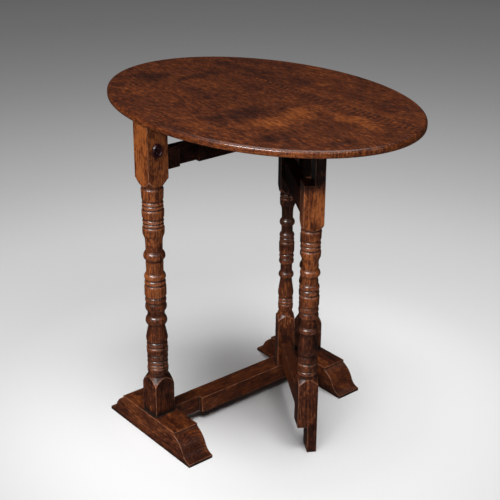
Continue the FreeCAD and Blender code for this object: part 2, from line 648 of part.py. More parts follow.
def board_blank(name, left=None, right=None):
    """The whole oval with its rounded rim, less what lies beyond one board's seams."""
    body = new_body(name)
    sketch = new_sketch(body, "oval_outline", "XY_Plane", UNDERSIDE)
    sketch.addGeometry(Part.Ellipse(Vector(0, dim("top_length") / 2), Vector(dim("top_width") / 2, 0), Vector()))
    sketch.exposeInternalGeometry(0)
    sketch.addConstraint(Sketcher.Constraint("Coincident", 0, 3, -1, 1))
    sketch.addConstraint(Sketcher.Constraint("Vertical", 1))
    constrain(sketch, "dims.top_length", "Distance", 1)
    constrain(sketch, "dims.top_width", "Distance", 2)
    add_feature(body, "Pad", "oval", sketch, "dims.top_thickness")
    round_edges(body, "upper_rim", "dims.table_height", "dims.top_upper_rounding")
    round_edges(body, "lower_rim", UNDERSIDE, "dims.top_lower_rounding")
    beyond = "dims.top_width"
    for seam, x in (("left_seam", (f"-{beyond}", left)), ("right_seam", (right, beyond))):
        if None not in x:
            cut_box(body, seam, x, (f"-{beyond}", beyond), "dims.table_height + 1", "dims.top_thickness + 2")
    return body


def screw(name, x, y, z):
    """A plain countersunk wood screw that points up, its head's face at z."""
    head = doc.addObject("Part::Cone", f"{name}_head")
    bind(head, Radius1="dims.screw_head_diameter / 2", Radius2="dims.screw_diameter / 2",
         Height="dims.screw_head_height")
    shank = doc.addObject("Part::Cylinder", f"{name}_shank")
    bind(shank, Radius="dims.screw_diameter / 2", Height="dims.screw_length")
    for piece in (head, shank):
        bind(piece, Placement=f"placement(vector({x}; {y}; {z}); rotation(vector(0; 0; 1); 0))")
    whole = doc.addObject("Part::Fuse", name)
    whole.Base, whole.Tool = head, shank
    return whole


def screw_slot(name, x, y, z):
    """The slot across a screw's head, as a bar to cut away."""
    bar = doc.addObject("Part::Box", name)
    bind(bar, Length="dims.screw_head_diameter", Width="dims.screw_slot", Height="dims.screw_slot")
    bind(bar, Placement=f"placement(vector({x} - dims.screw_head_diameter / 2; {y} - dims.screw_slot / 2; {z}); "
                        "rotation(vector(0; 0; 1); 0))")
    return bar


def screw_group(label, places, z):
    """A group of separate slotted screws, and the unslotted blanks that shape their holes."""
    blanks = doc.addObject("Part::Compound", f"{label}_blanks")
    blanks.Links = [screw(f"{label}_{number}", x, y, z) for number, (x, y) in enumerate(places, start=1)]
    slots = doc.addObject("Part::Compound", f"{label}_slots")
    slots.Links = [screw_slot(f"{label}_slot_{number}", x, y, z)
                   for number, (x, y) in enumerate(places, start=1)]
    group = doc.addObject("Part::Cut", label)
    group.Base, group.Tool = blanks, slots
    keep(group, label)
    return blanks


def drill(blank, label, screws):
    """The finished wooden piece: its blank with the screws' holes cut by the screws' own shapes."""
    drilled = doc.addObject("Part::Cut", label)
    drilled.Base, drilled.Tool = blank, screws
    return keep(drilled, label)


def batten_blank(name, line):
    """A flat batten across the boards, under the top."""
    body = new_body(name)
    pad_box(body, "stock", ("dims.batten_left", "dims.batten_right"), around(line, "dims.batten_width"),
            f"{UNDERSIDE} - dims.batten_thickness", "dims.batten_thickness")
    return body


def bearer_blank(name):
    """The bearer between the posts, bored at both ends for the hinge pins and counterbored below."""
    body = new_body(name, x=FRAME_X)
    end = f"({RAIL_END} - dims.bearer_end_gap)"
    pad_box(body, "stock", (f"-{end}", end), around("dims.hinge_line", "dims.bearer_width"),
            "dims.bearer_bottom", f"{UNDERSIDE} - dims.bearer_bottom")
    for side, along_normal in (("left", True), ("right", False)):
        offset = f"-{end}" if along_normal else end
        cut_bores(body, f"{side}_hole", "YZ_Plane", [("dims.hinge_line", "dims.hinge_height")], offset,
                  "dims.pin_hold", "dims.pin_diameter", along_normal=along_normal)
    cut_bores(body, "counterbores", "XY_Plane", [(x, "dims.hinge_line") for x in BEARER_SCREWS_X],
              "dims.bearer_bottom", f"{UNDERSIDE} - dims.batten_thickness - dims.bearer_bottom",
              "dims.screw_counterbore", along_normal=True)
    return body


def tilting_top():
    """Three boards held by two battens and the hinge bearer, with their screws and hinge pins."""
    seat = f"{UNDERSIDE} - dims.batten_thickness"
    batten_places = [(x, line) for line in BATTENS.values() for x in BATTEN_SCREWS_X]
    bearer_places = [(f"{FRAME_X} + {x}", "dims.hinge_line") for x in BEARER_SCREWS_X]
    batten_screws = screw_group("batten_screws", batten_places, seat)
    bearer_screws = screw_group("bearer_screws", bearer_places, seat)
    all_screws = doc.addObject("Part::Compound", "all_screws")
    all_screws.Links = [batten_screws, bearer_screws]
    for name, line in BATTENS.items():
        drill(batten_blank(f"batten_{name}_blank", line), f"batten_{name}", batten_screws)
    drill(bearer_blank("pivot_bearer_blank"), "pivot_bearer", bearer_screws)
    drill(board_blank("left_blank", right="dims.seam_left"), "top_board_left", all_screws)
    drill(board_blank("middle_blank", "dims.seam_left", "dims.seam_right"), "top_board_middle", all_screws)
    drill(board_blank("right_blank", left="dims.seam_right"), "top_board_right", all_screws)
    end = f"({RAIL_END} - dims.bearer_end_gap)"
    inner = f"({end} - dims.pin_hold)"
    for side, start in (("left", f"{FRAME_X} - {inner} - dims.pin_length"), ("right", f"{FRAME_X} + {inner}")):
        pin(f"tilt_pin_{side}", "dims.pin_diameter", "dims.pin_length",
            (start, "dims.hinge_line", "dims.hinge_height"), "x")


# ---------------------------------------------------------------- build, check and write

def check_and_write():
    """Stop at any failed object or bad shape, then write one STEP file for each sub-part."""
    doc.recompute()
    failed = [obj.Name for obj in doc.Objects if {"Invalid", "Error"} & set(obj.State)]
    if failed:
        raise RuntimeError(f"failed objects: {failed}")
    for node in nodes:
        if node.Shape.isNull() or not node.Shape.isValid():
            raise RuntimeError(f"bad shape: {node.Label}")
    os.makedirs("parts", exist_ok=True)
    for node in nodes:
        node.Shape.exportStep(f"parts/{node.Label}.step")
        print(f"{node.Label}: {len(node.Shape.Solids)} solid(s), {node.Shape.Volume / 1000:.1f} cm3")


fill_sheet()
trestle_frame()
wax_seal()
gate()
tilting_top()
check_and_write()
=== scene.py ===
import math

import bmesh
import bpy
from mathutils import Matrix, Vector, noise


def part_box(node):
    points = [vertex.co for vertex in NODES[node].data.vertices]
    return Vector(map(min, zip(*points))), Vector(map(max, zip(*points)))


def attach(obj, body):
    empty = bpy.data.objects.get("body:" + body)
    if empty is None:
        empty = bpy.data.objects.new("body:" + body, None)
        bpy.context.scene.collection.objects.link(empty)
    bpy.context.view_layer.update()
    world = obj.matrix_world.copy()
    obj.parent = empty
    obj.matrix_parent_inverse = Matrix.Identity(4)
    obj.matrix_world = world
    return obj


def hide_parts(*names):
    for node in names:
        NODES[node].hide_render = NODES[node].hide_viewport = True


# Tilt top table in old polished oak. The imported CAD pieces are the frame. Here they get worn edges
# and oak that is made of nodes alone, and the pressed wax seal is modelled again with its relief.
# All lengths are metres, in the same frame as the CAD: X runs from the left post to the right one,
# and the gate leg opens towards -Y.

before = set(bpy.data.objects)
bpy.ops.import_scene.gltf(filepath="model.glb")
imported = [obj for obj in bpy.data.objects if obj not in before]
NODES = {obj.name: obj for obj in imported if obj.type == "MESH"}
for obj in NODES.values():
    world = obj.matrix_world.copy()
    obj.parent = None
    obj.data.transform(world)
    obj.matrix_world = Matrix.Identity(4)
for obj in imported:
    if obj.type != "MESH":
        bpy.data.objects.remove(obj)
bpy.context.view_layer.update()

# How far the gate leg stands open at rest, so that its grain and its faces can be followed.
GATE_ANGLE = math.radians(58.4)
# Where the middle board of the top meets its neighbours.
SEAMS = tuple(corner.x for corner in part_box("top_board_middle"))


# ---------------------------------------------------------------- node trees

def linear(red, green, blue):
    """A linear colour from the usual 0 to 255 values."""
    values = [value / 255 for value in (red, green, blue)]
    return tuple(v / 12.92 if v <= 0.04045 else ((v + 0.055) / 1.055) ** 2.4 for v in values) + (1.0,)


class Tree:
    """A material's node tree, built by short calls. Each input is a number, a tuple or an output socket."""

    def __init__(self, name):
        self.material = bpy.data.materials.new(name)
        self.material.use_nodes = True
        self.tree = self.material.node_tree
        self.tree.nodes.clear()

    def node(self, kind, inputs, output=0, **settings):
        made = self.tree.nodes.new(f"ShaderNode{kind}")
        for key, value in settings.items():
            setattr(made, key, value)
        for key, value in inputs.items():
            if isinstance(value, bpy.types.NodeSocket):
                self.tree.links.new(value, made.inputs[key])
            else:
                made.inputs[key].default_value = value
        return made.outputs[output]

    def math(self, operation, a, b=0.0, c=0.0, clamp=False):
        return self.node("Math", {0: a, 1: b, 2: c}, operation=operation, use_clamp=clamp)

    def vector(self, operation, a, b=(0, 0, 0), scale=None):
        inputs = {0: a, 1: b} if scale is None else {0: a, "Scale": scale}
        output = "Value" if operation in ("LENGTH", "DOT_PRODUCT") else "Vector"
        return self.node("VectorMath", inputs, output, operation=operation)

    def rotated(self, coordinates, rotation):
        return self.node("Mapping", {"Vector": coordinates, "Rotation": rotation})

    def parts(self, vector):
        """The x, y and z of a vector."""
        made = self.tree.nodes.new("ShaderNodeSeparateXYZ")
        self.tree.links.new(vector, made.inputs[0])
        return made.outputs

    def noise(self, coordinates, scale, detail=2.0, roughness=0.5, distortion=0.0, output="Fac"):
        return self.node("TexNoise", {"Vector": coordinates, "Scale": scale, "Detail": detail,
                                      "Roughness": roughness, "Distortion": distortion}, output)

    def drawn(self, coordinates, stretch, scale, detail, roughness, distortion=0.0):
        """Noise that is drawn out along each axis whose stretch is below 1."""
        return self.noise(self.vector("MULTIPLY", coordinates, stretch), scale, detail, roughness,
                          distortion)

    def vary(self, value, field, amount, middle=0.5):
        """Add an amount of a field's distance from its middle to a value."""
        return self.math("MULTIPLY_ADD", self.math("SUBTRACT", field, middle), amount, value)

    def step(self, value, low, high, to_low=0.0, to_high=1.0):
        """A smooth step from to_low at low to to_high at high."""
        return self.node("MapRange", {"Value": value, "From Min": low, "From Max": high,
                                      "To Min": to_low, "To Max": to_high},
                         interpolation_type="SMOOTHSTEP")

    def mix(self, factor, a, b):
        """From colour a at factor 0 to colour b at factor 1."""
        return self.node("Mix", {0: factor, 6: a, 7: b}, 2, data_type="RGBA")

    def ramp(self, value, stops, interpolation="LINEAR"):
        """A colour for each value, from stops that are each a place from 0 to 1 and a colour."""
        made = self.tree.nodes.new("ShaderNodeValToRGB")
        self.tree.links.new(value, made.inputs["Fac"])
        made.color_ramp.interpolation = interpolation
        elements = made.color_ramp.elements
        while len(elements) < len(stops):
            elements.new(0.5)
        for element, (place, colour) in zip(elements, stops):
            element.position = place
            element.color = colour
        return made.outputs["Color"]

    def finish(self, shader):
        """Put the shader on the material's output, and give the material."""
        output = self.tree.nodes.new("ShaderNodeOutputMaterial")
        self.tree.links.new(shader, output.inputs["Surface"])
        return self.material


# ---------------------------------------------------------------- oak

# What turns the length of the grain onto Z, by the axis that the grain follows.
GRAIN_TURNS = {"x": (0, -math.pi / 2, 0), "y": (math.pi / 2, 0, 0), "z": (0, 0, 0)}

# The wood's noises: the stretch across, across and along the grain, then the scale, the detail, the
# roughness and the distortion. Fibres, streaks, flecks, pores and rays are the grain, the next three are
# the patina, and the last is the slow unevenness of a surface planed and rubbed by hand.
GRAIN = {
    "fibre": ((1, 1, 0.11), 620, 3.0, 0.65),
    "streak": ((1, 1, 0.12), 210, 3.0, 0.6),
    "fleck": ((1, 1, 0.22), 400, 2.0, 0.6, 0.4),
    "pore": ((1, 1, 0.07), 950, 1.0, 0.5),
    "ray": ((1, 0.25, 0.3), 210, 2.0, 0.5, 0.6),
    "slow": ((1, 1, 0.55), 15, 4.0, 0.62, 0.5),
    "mottle": ((1, 1, 0.5), 62, 4.0, 0.62, 0.8),
    "speck": ((1, 1, 0.55), 190, 3.0, 0.6),
    "surface": ((1, 1, 0.4), 42, 2.0, 0.45),
}
END_GRAIN = ((1, 0.4, 0.05), 700, 2.0, 0.6)
LATHE_MARKS = ((0.02, 0.02, 1), 900, 2.0, 0.6)

# From the darkest stain to the lightest wood, and the bare wood of a rubbed edge.
POLISHED = (linear(26, 11, 6), linear(54, 23, 12), linear(92, 43, 18), linear(150, 82, 35),
            linear(196, 126, 86))
# The wood under the top: dry, and painted darker for the shade beneath the top.
DRY_AND_SHADED = (linear(16, 9, 7), linear(30, 18, 13), linear(50, 32, 22), linear(74, 50, 34),
       linear(104, 74, 52))
# The tones at which the first four of those colours stand.
TONES = (0.0, 0.3, 0.56, 0.9)
RUBBED_LIP = linear(232, 170, 136)
WORN_BEAD = linear(190, 118, 84)
# The near-black of old wax and dust in hollows, which is also painted shade there.
OLD_WAX_AND_SHADE = (0.006, 0.003, 0.0025, 1)

# The radius of the rounding that the normals show, and the depths of the two reliefs.
ARRIS = 0.0016
UNEVENNESS = 0.0016
PORE_DEPTH = 0.00022
# The openness at which proud's painted light and shade leave the tone as it is, and how far through a bead
# its far side is looked for.
OPEN_FACE = 0.93
BEAD_THICKNESS = 0.0045
# The coat on the rim and on the other faces of the top that don't lie level.
RIM_COAT = 0.7


def growth_rings(t, along, heart, slope, ring):
    """How far through its growth ring each point is. The rings stand round a leaning heart, and wander."""
    wave = t.noise(t.vector("MULTIPLY", along, (1, 1, 0.22)), 13, 2.5, output="Color")
    wander = t.vector("MULTIPLY", t.vector("SUBTRACT", wave, (0.5, 0.5, 0.5)), (0.02, 0.02, 0))
    x, y, z = t.parts(t.vector("ADD", along, wander))
    lean = t.math("MULTIPLY", t.math("SUBTRACT", z, heart[2]), slope)
    across = t.node("CombineXYZ", {"X": t.math("SUBTRACT", x, heart[0]),
                                   "Y": t.math("ADD", t.math("SUBTRACT", y, heart[1]), lean)})
    return t.math("FRACT", t.math("DIVIDE", t.vector("LENGTH", across), ring))


def stained(t, value, place, patches):
    """The tone with ragged stains and lighter places."""
    ragged = t.vector("SUBTRACT", t.noise(place, 34, 3.0, 0.6, output="Color"), (0.5, 0.5, 0.5))
    spread = t.vector("ADD", place, t.vector("SCALE", ragged, scale=0.05))
    for x, y, half_width, half_length, strength in patches:
        local = t.vector("MULTIPLY", t.vector("SUBTRACT", spread, (x, y, 0)),
                         (1 / half_width, 1 / half_length, 0))
        inside = t.step(t.vector("LENGTH", local), 0.35, 1.25, 1.0, 0.0)
        value = t.math("MULTIPLY_ADD", inside, strength, value)
    return value


def end_grain(t, value, place, strength):
    """The tone with fine upright lines on the faces that look along Y."""
    facing = t.math("ABSOLUTE", t.vector("DOT_PRODUCT", t.node("TexCoord", {}, "Normal"), (0, 1, 0)))
    lines = t.math("SUBTRACT", t.drawn(place, *END_GRAIN), 0.5)
    return t.math("ADD", value, t.math("MULTIPLY", lines, t.step(facing, 0.35, 0.8, 0.0, strength)))


def pale_lips(t, colour, edge, broken, amount):
    """The colour with pale, broken lines on the square arrises."""
    convex = t.step(t.node("NewGeometry", {}, "Pointiness"), 0.5, 0.53)
    lips = t.math("MULTIPLY", convex, t.step(edge, 0.001, 0.02))
    lips = t.math("MULTIPLY", lips, t.step(broken, 0.0, 1.0, 0.55 * amount, amount))
    return t.mix(lips, colour, RUBBED_LIP)


def pale_crests(t, colour, turn, broken, amount):
    """The colour with paler crests on thin beads. The flat faces of the square blocks keep theirs."""
    thin = t.node("AmbientOcclusion", {"Distance": BEAD_THICKNESS}, "AO", samples=10, inside=True,
                  only_local=True)
    normal = t.parts(t.rotated(t.node("TexCoord", {}, "Normal"), (0, 0, -turn)))
    slanted = t.math("ABSOLUTE", t.math("MULTIPLY", normal[0], normal[1]))
    crest = t.math("MULTIPLY", t.step(thin, 0.80, 0.96, 1.0, 0.0), t.step(slanted, 0.02, 0.12))
    crest = t.math("MULTIPLY", crest, t.step(broken, 0.0, 1.0, 0.6 * amount, amount))
    return t.mix(crest, colour, WORN_BEAD)


def oak(name, grain, pith=(0.03, 0.05), slope=0.0, turn=0.0, ring=0.0045, colours=POLISHED, tone=0.0,
        contrast=1.0, wear=0.8, dirt_and_shade=0.7, gloss=0.36, coat=0.3, specular=0.45, hollow_size=0.011,
        hollow_range=(0.25, 0.86), patches=(), seams=(), shared_dirt_and_shade=False, lathe=0.0, painted_light_by_height=(),
        proud=0.0, ring_contrast=0.2, end_lines=0.0, ridges=0.0, beads=0.0, fine=1.0):
    """Oak made solid, so that faces, edges and end grain all agree.

    grain is the axis that the piece's length follows, after a turn about Z. pith is where the tree's
    middle lies across the piece, and slope leans it, which draws arches on a flat face. ring is the width
    of a year's growth. tone makes the wood lighter or darker, and contrast and fine strengthen the
    patina and the finest grain. patches are stains and lighter places: x, y, half width, half length
    and strength, which is negative for dark. heights paint light and shade by height: each is where
    the change begins and ends, and its strength, which is negative for painted shade.

    Old wax and dust gather in hollows, and painted shade with them; dirt sets how dark they are, and
    the hollows are looked for as far as hollow_size. The darkening is full at the first openness in
    hollow_range and gone at the second, and shared_dirt_and_shade counts the hollows between pieces too.
    proud
    paints light and shade by openness: the wood is darker towards its hollows and lighter where it
    stands clear of them. end_lines draws fine upright lines on the end grain and gives all but the
    level face a stronger coat. ridges makes arrises pale, beads does so for the crests of rings, and
    lathe gives turning marks."""
    t = Tree(name)
    place = t.node("TexCoord", {}, "Object")
    if turn:
        place = t.rotated(place, (0, 0, -turn))
    seed = sum(ord(letter) for letter in name) * 0.37 % 9.0
    home = (seed, seed * 0.7, seed * 0.3)
    along = t.vector("ADD", t.rotated(place, GRAIN_TURNS[grain]), home)
    field = {key: t.drawn(along, *shape) for key, shape in GRAIN.items()}
    spot = t.parts(place)

    # open pores crowd in the early wood, and the rays show as pale flecks
    heart = (home[0] + pith[0], home[1] + pith[1], home[2])
    rings = growth_rings(t, along, heart, slope, ring)
    ring_face = t.math("MULTIPLY", t.math("ABSOLUTE", t.math("SUBTRACT", rings, 0.5)), 2.0)
    early = t.step(rings, 0.0, 0.45, 1.0, 0.0)
    pore_limit = t.math("MULTIPLY_ADD", early, -0.07, 0.66)
    pores = t.math("MULTIPLY", t.math("SUBTRACT", field["pore"], pore_limit), 11.0, clamp=True)
    rays = t.step(field["ray"], 0.60, 0.72)

    # the tone: the grain and the patina, then painted light and shade by the openness and the height, then
    # the stains
    value = 0.5 + tone
    for key, amount in (("slow", 0.8 * contrast), ("mottle", 0.45 * contrast), ("speck", 0.45 * contrast),
                        ("fleck", 0.6 * contrast * fine), ("streak", 0.32 * fine), ("fibre", 0.75 * fine)):
        value = t.vary(value, field[key], amount)
    value = t.vary(value, ring_face, ring_contrast)
    value = t.math("MULTIPLY_ADD", rays, 0.07, value)
    openness = t.node("AmbientOcclusion", {"Distance": hollow_size}, "AO", samples=8,
                      only_local=not shared_dirt_and_shade)
    # Painted light and shade by openness: proud darkens the wood towards its hollows and lightens it clear
    # of them.
    value = t.vary(value, openness, proud, OPEN_FACE)
    # Painted light and shade by height: the tone steps lighter or darker with Z, as the light falls and the
    # top shades.
    for low, high, change in painted_light_by_height:
        value = t.math("MULTIPLY_ADD", t.step(spot[2], low, high), change, value)
    if end_lines:
        value = end_grain(t, value, place, end_lines)
        level = t.vector("DOT_PRODUCT", t.node("TexCoord", {}, "Normal"), (0, 0, 1))
        coat = t.step(level, 0.8, 0.99, RIM_COAT, coat)
    if patches:
        value = stained(t, value, place, patches)
    colour = t.ramp(value, list(zip(TONES, colours)))
    colour = t.mix(t.math("MULTIPLY", pores, 0.72), colour, colours[0])

    # rubbed edges are pale and smooth, hollows hold dark wax and dust and painted shade
    smooth_normal = t.node("Bevel", {"Radius": ARRIS}, samples=6)
    face_normal = t.node("NewGeometry", {}, "Normal")
    edge = t.math("SUBTRACT", 1.0, t.vector("DOT_PRODUCT", smooth_normal, face_normal))
    hollow = t.step(openness, *hollow_range, 1.0, 0.0)
    broken = t.step(t.noise(along, 95, 3.0, 0.6), 0.34, 0.62)
    rubbed = t.math("MULTIPLY", t.step(edge, 0.012, 0.10), t.math("SUBTRACT", 1.0, hollow))
    rubbed = t.math("MULTIPLY", rubbed, t.math("MULTIPLY", broken, wear))
    colour = t.mix(rubbed, colour, colours[4])
    # Hollows are darkened towards old wax's near-black, for old wax and dust and for painted shade that
    # falls in them.
    stain = t.math("MULTIPLY", hollow, dirt_and_shade)
    colour = t.mix(stain, colour, OLD_WAX_AND_SHADE)
    if ridges:
        colour = pale_lips(t, colour, edge, broken, ridges)
    if beads:
        colour = pale_crests(t, colour, turn, broken, beads)
    for x in seams:
        gap = t.math("ABSOLUTE", t.math("SUBTRACT", spot[0], x))
        colour = t.mix(t.step(gap, 0.0003, 0.0016, 0.85, 0.0), colour, colours[0])

    rough = t.vary(gloss, field["mottle"], 0.22)
    rough = t.vary(rough, field["fibre"], 0.16)
    rough = t.math("MULTIPLY_ADD", pores, 0.22, rough)
    rough = t.math("MULTIPLY_ADD", stain, 0.3, rough)
    rough = t.math("MULTIPLY_ADD", rubbed, -0.06, rough, clamp=True)

    normal = t.node("Bump", {"Height": field["surface"], "Distance": UNEVENNESS, "Strength": 0.55,
                             "Normal": smooth_normal})
    relief = t.math("MULTIPLY_ADD", pores, -0.9, t.math("MULTIPLY", field["fibre"], 0.7))
    if lathe:
        relief = t.math("MULTIPLY_ADD", t.drawn(along, *LATHE_MARKS), lathe, relief)
    normal = t.node("Bump", {"Height": relief, "Distance": PORE_DEPTH, "Strength": 0.7, "Normal": normal})
    return t.finish(t.node("BsdfPrincipled", {
        "Base Color": colour, "Roughness": rough, "Normal": normal, "Coat Weight": coat,
        "Coat Roughness": 0.14, "Specular IOR Level": specular}))


# ---------------------------------------------------------------- metal and wax

def old_metal(name, bright, rust):
    """Aged metal: dark where it oxidised, brighter where it rubs, with specks of rust."""
    t = Tree(name)
    place = t.node("TexCoord", {}, "Object")
    cloud = t.noise(place, 320, 4.0, 0.62)
    speck = t.noise(place, 1500, 3.0, 0.6)
    rusty = t.step(cloud, 0.5, 0.68, 0.0, rust)
    colour = t.mix(speck, tuple(0.45 * c for c in bright[:3]) + (1,), bright)
    colour = t.mix(rusty, colour, linear(82, 42, 24))
    edge_normal = t.node("Bevel", {"Radius": 0.0004}, samples=4)
    normal = t.node("Bump", {"Height": speck, "Distance": 0.00012, "Strength": 0.6,
                             "Normal": edge_normal})
    return t.finish(t.node("BsdfPrincipled", {
        "Base Color": colour, "Metallic": t.math("SUBTRACT", 1.0, rusty),
        "Roughness": t.math("MULTIPLY_ADD", rusty, 0.4, t.math("MULTIPLY_ADD", speck, 0.25, 0.28)),
        "Normal": normal}))


def sealing_wax():
    """Old dark red wax: glossy where it stood proud, duller and darker in its hollows."""
    t = Tree("sealing_wax_aged")
    place = t.node("TexCoord", {}, "Object")
    cloud = t.noise(place, 260, 4.0, 0.6)
    hollow = t.step(t.node("AmbientOcclusion", {"Distance": 0.004}, "AO", samples=8, only_local=True),
                    0.3, 0.95, 1.0, 0.0)
    colour = t.ramp(cloud, [(0.25, linear(22, 4, 8)), (0.55, linear(44, 8, 15)),
                            (0.8, linear(66, 14, 22))])
    colour = t.mix(t.math("MULTIPLY", hollow, 0.75), colour, linear(22, 6, 9))
    normal = t.node("Bump", {"Height": t.noise(place, 900, 3.0, 0.55), "Distance": 0.00025,
                             "Strength": 0.5})
    return t.finish(t.node("BsdfPrincipled", {
        "Base Color": colour, "Normal": normal,
        "Roughness": t.math("MULTIPLY_ADD", hollow, 0.35, t.math("MULTIPLY_ADD", cloud, 0.2, 0.28)),
        "Coat Weight": 0.08, "Coat Roughness": 0.2}))


def give(material, *names):
    """Show a material on CAD nodes."""
    for name in names:
        for slot in NODES[name].material_slots:
            slot.material = material


# The top's dark stains and, with a positive strength, its lighter places, as oak's patches.
STAINS = (
    (-0.075, 0.251, 0.040, 0.045, -0.20), (-0.005, 0.198, 0.060, 0.017, -0.18),
    (-0.112, -0.062, 0.075, 0.036, -0.17), (-0.145, -0.209, 0.060, 0.022, -0.14),
    (0.103, 0.226, 0.014, 0.062, -0.15), (-0.016, -0.083, 0.020, 0.008, -0.20),
    (-0.085, 0.060, 0.030, 0.012, -0.14), (0.135, 0.030, 0.030, 0.050, -0.12),
    (-0.075, -0.298, 0.035, 0.016, -0.16), (0.128, -0.222, 0.012, 0.010, -0.17),
    (0.035, -0.215, 0.024, 0.085, 0.3), (-0.155, 0.170, 0.045, 0.060, 0.16),
    (-0.060, -0.140, 0.070, 0.035, 0.24), (0.020, -0.120, 0.050, 0.030, 0.2),
    (0.150, 0.000, 0.025, 0.020, 0.15), (-0.200, -0.060, 0.030, 0.090, 0.12),
    (0.160, 0.180, 0.080, 0.110, -0.09), (0.060, 0.120, 0.060, 0.150, -0.07),
)

# Painted shade: the flat of the top is painted a little darker than its lit rim, from the rim's rounding
# upwards.
FLAT_PAINTED_SHADE = (0.6962, 0.6994, -0.15)

top = dict(contrast=0.7, fine=1.5, end_lines=1.3, painted_light_by_height=(FLAT_PAINTED_SHADE,), coat=0.12, gloss=0.36,
           specular=0.35, wear=0.5, dirt_and_shade=0.4, patches=STAINS, seams=SEAMS)
give(oak("oak_top_left", "y", pith=(-0.16, -0.60), slope=0.10, ring=0.0052, tone=0.08,
         ring_contrast=0.1, **top), "top_board_left")
give(oak("oak_top_middle", "y", pith=(0.07, -0.645), slope=0.26, ring=0.0034, tone=0.1,
         ring_contrast=0.22, **top), "top_board_middle")
give(oak("oak_top_right", "y", pith=(0.24, -0.62), slope=0.05, ring=0.0048, tone=0.11,
         ring_contrast=0.1, **top), "top_board_right")

# The posts' grooves are darkened as old wax and painted shade together, and proud paints them lighter where
# they stand clear of the grooves.
turned = dict(contrast=1.75, wear=0.8, dirt_and_shade=0.97, lathe=0.5, hollow_size=0.013, hollow_range=(0.52, 0.97),
              proud=2.0, gloss=0.33, specular=0.5, coat=0.45, ridges=0.15, beads=0.8)
# Painted light and shade by height: the posts are lighter going up, and darker near the top on the right,
# gate and pivot posts, where the top's shade falls.
give(oak("oak_left_post", "z", pith=(-0.17, 0.02), tone=-0.4, shared_dirt_and_shade=True,
         painted_light_by_height=((0.06, 0.42, 0.38),), **turned), "left_post")
give(oak("oak_right_post", "z", pith=(0.25, 0.03), tone=-0.22, shared_dirt_and_shade=True,
         painted_light_by_height=((0.06, 0.3, 0.16), (0.42, 0.56, -0.25)), **turned), "right_post")
give(oak("oak_gate_post", "z", pith=(0.02, 0.04), tone=-0.44, turn=GATE_ANGLE,
         painted_light_by_height=((0.03, 0.36, 0.26), (0.34, 0.45, 0.28), (0.553, 0.587, -0.55)), **turned),
     "gate_outer_post")
give(oak("oak_gate_pivot_post", "z", pith=(0.05, 0.02), tone=-0.24, turn=GATE_ANGLE,
         painted_light_by_height=((0.1, 0.3, 0.12), (0.34, 0.5, -0.42)), **turned), "gate_pivot_post")

# The feet's quirks and the joints between pieces are darkened as old wax and painted shade together.
feet = dict(wear=0.75, dirt_and_shade=0.95, shared_dirt_and_shade=True, ring=0.005, ridges=0.25, contrast=1.3,
            hollow_range=(0.5, 0.95))
give(oak("oak_left_foot", "y", pith=(-0.19, 0.02), tone=-0.05, **feet), "left_foot")
give(oak("oak_right_foot", "y", pith=(0.23, 0.01), tone=-0.06, **feet), "right_foot")
give(oak("oak_stretcher", "x", pith=(-0.01, 0.03), tone=-0.05, **feet), "stretcher")
# Painted shade: the upper rails and the corner block under the top are painted dark, with little shine, for
# the shade they stand in. The corner block fills a pocket that holds only shade, as a dark stand-in for it.
in_painted_shade = dict(wear=0.12, dirt_and_shade=0.9, coat=0.0, gloss=0.55, specular=0.15)
give(oak("oak_upper_rail", "x", pith=(-0.57, 0.03), tone=-0.36, **in_painted_shade), "upper_rail")
give(oak("oak_corner_block", "z", pith=(0.20, 0.03), tone=-0.45, **in_painted_shade), "corner_block")
give(oak("oak_gate_upper_rail", "x", pith=(-0.48, -0.02), turn=GATE_ANGLE, tone=-0.3, **in_painted_shade),
     "gate_upper_rail")
give(oak("oak_gate_lower_rail", "x", pith=(-0.06, -0.02), turn=GATE_ANGLE, tone=-0.12, wear=0.85,
         dirt_and_shade=0.8, specular=0.3), "gate_lower_rail")

# Painted shade: the bearer and battens under the top take the darker dry palette for the shade there.
under = dict(colours=DRY_AND_SHADED, gloss=0.62, coat=0.0, wear=0.35, dirt_and_shade=0.8)
give(oak("oak_bearer", "x", pith=(-0.62, 0.05), **under), "pivot_bearer")
give(oak("oak_batten_front", "x", pith=(-0.66, -0.24), **under), "batten_front")
give(oak("oak_batten_back", "x", pith=(-0.66, 0.27), **under), "batten_back")

give(old_metal("aged_iron", linear(96, 88, 82), 0.8),
     "gate_top_pin", "gate_bottom_pin", "tilt_pin_left", "tilt_pin_right")
give(old_metal("aged_steel", linear(140, 132, 122), 0.5), "batten_screws", "bearer_screws")


# ---------------------------------------------------------------- worn arrises

ROUNDING = 0.0012


def soften(name):
    """Round a CAD piece's arrises a little, as hands, feet and polish do."""
    piece = NODES[name]
    weld = piece.modifiers.new("join", "WELD")
    weld.merge_threshold = 0.00001
    bevel = piece.modifiers.new("arris", "BEVEL")
    bevel.width = ROUNDING
    bevel.segments = 3
    bevel.limit_method = "ANGLE"
    bevel.angle_limit = math.radians(32)
    bevel.use_clamp_overlap = True
    shading = piece.modifiers.new("shading", "WEIGHTED_NORMAL")
    shading.keep_sharp = False
    shading.weight = 50


for name in ("left_foot", "right_foot", "stretcher", "upper_rail", "corner_block", "gate_lower_rail",
             "gate_upper_rail"):
    soften(name)


# ---------------------------------------------------------------- the wax seal

SEAL_TURNS, SEAL_LOOPS = 96, 30


def hump(share, middle, width):
    """A smooth hump that is 1 at its middle."""
    return math.exp(-((share - middle) / width) ** 2)


